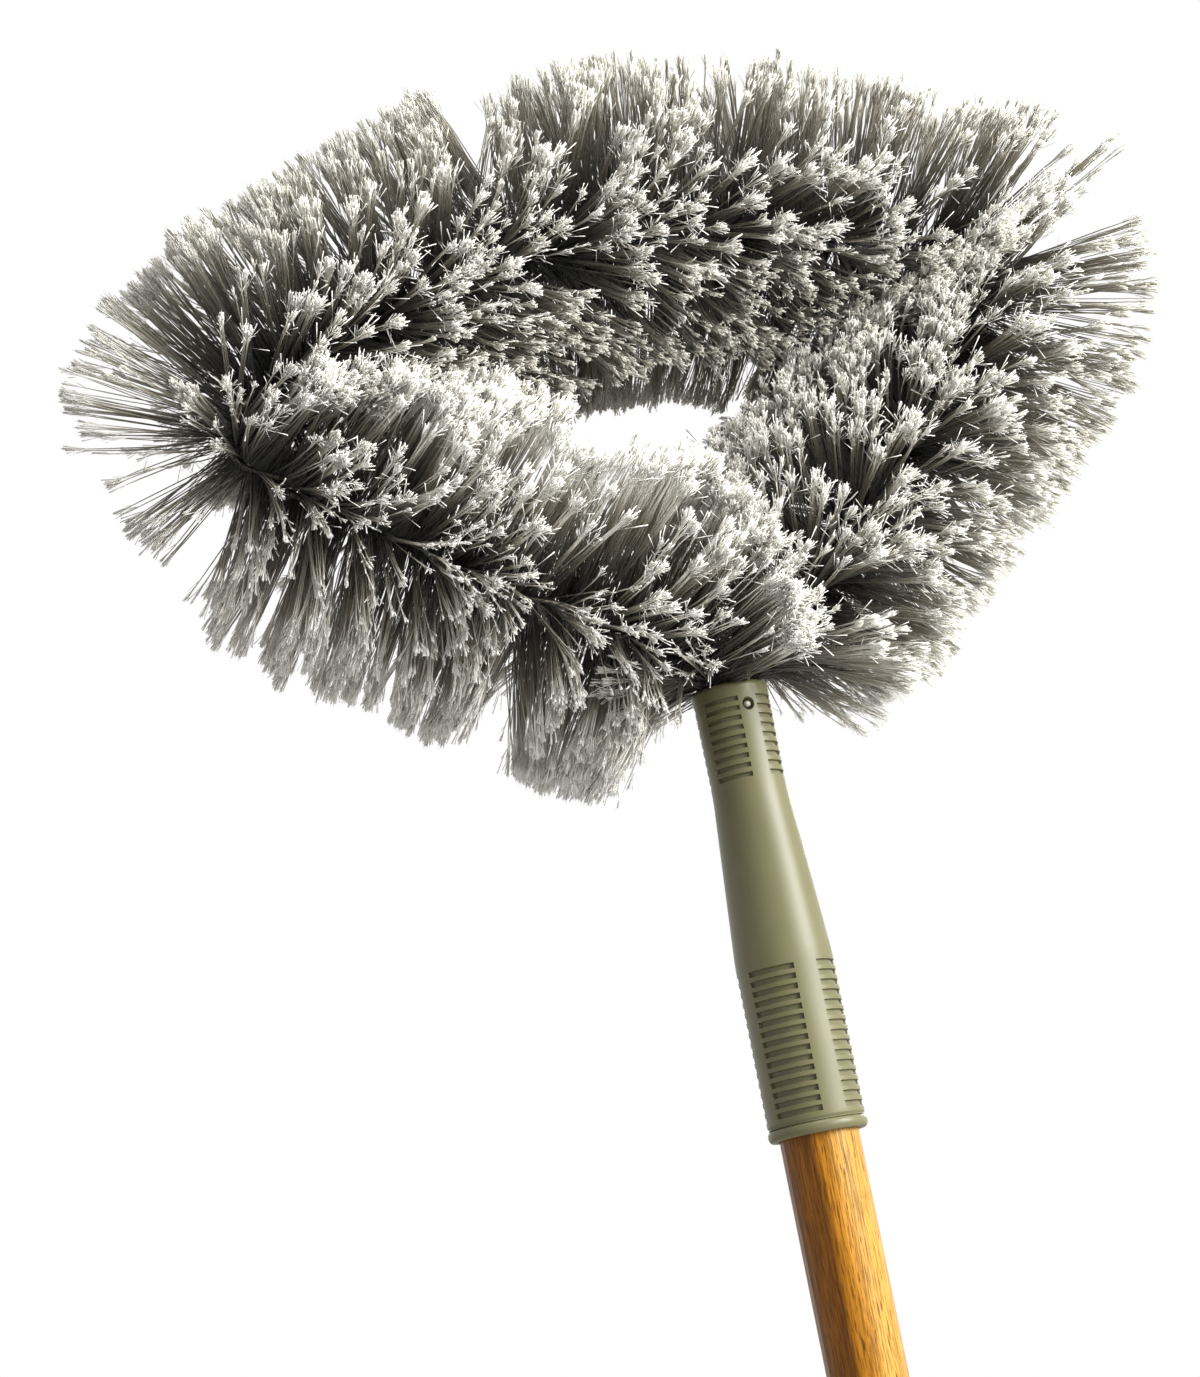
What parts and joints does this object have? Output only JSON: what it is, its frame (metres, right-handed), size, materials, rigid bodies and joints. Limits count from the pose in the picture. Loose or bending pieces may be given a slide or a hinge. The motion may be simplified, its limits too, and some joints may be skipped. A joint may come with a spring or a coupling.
{
  "type": "ceiling fan brush",
  "caption": "Twisted-in-wire duster: a rounded triangular loop of flagged grey bristles in a ribbed plastic grip socket, screwed on a long round wooden pole.",
  "frame": {"origin": "centre of the flat at the lower end of the pole", "axes": "+Z along the pole towards the brush head; the loop lies in the XZ plane, its wider left side towards -X; the cross pin runs along Y and the pictured side faces -Y"},
  "size_m": [0.3693, 0.1175, 1.5278],
  "materials": {
    "varnished_wood": "honey-amber varnish, semi-gloss",
    "sage_plastic": "satin moulded",
    "pin_steel": "bright",
    "plug_plastic": "matt",
    "galvanised_wire": "dull galvanised",
    "grey_bristle": "charcoal roots, pale frayed tips"
  },
  "bodies": {
    "pole": {"wood_pole": "varnished_wood"},
    "head": {"grip_socket": "sage_plastic", "cross_pin": "pin_steel", "stem_plug": "plug_plastic", "core_wire_a": "galvanised_wire", "core_wire_b": "galvanised_wire", "bristles_01": "grey_bristle", "bristles_02": "grey_bristle", "bristles_03": "grey_bristle", "bristles_04": "grey_bristle", "bristles_05": "grey_bristle", "bristles_06": "grey_bristle", "bristles_07": "grey_bristle", "bristles_08": "grey_bristle", "bristles_09": "grey_bristle", "bristles_10": "grey_bristle", "bristles_11": "grey_bristle", "bristles_12": "grey_bristle", "bristles_13": "grey_bristle", "bristles_14": "grey_bristle", "bristles_15": "grey_bristle", "bristles_16": "grey_bristle"}
  },
  "joints": [
    {"name": "head_unscrew", "type": "slide", "parent": "pole", "child": "head", "axis": [0, 0, 1], "range_m": [0, 0.045]}
  ]
}
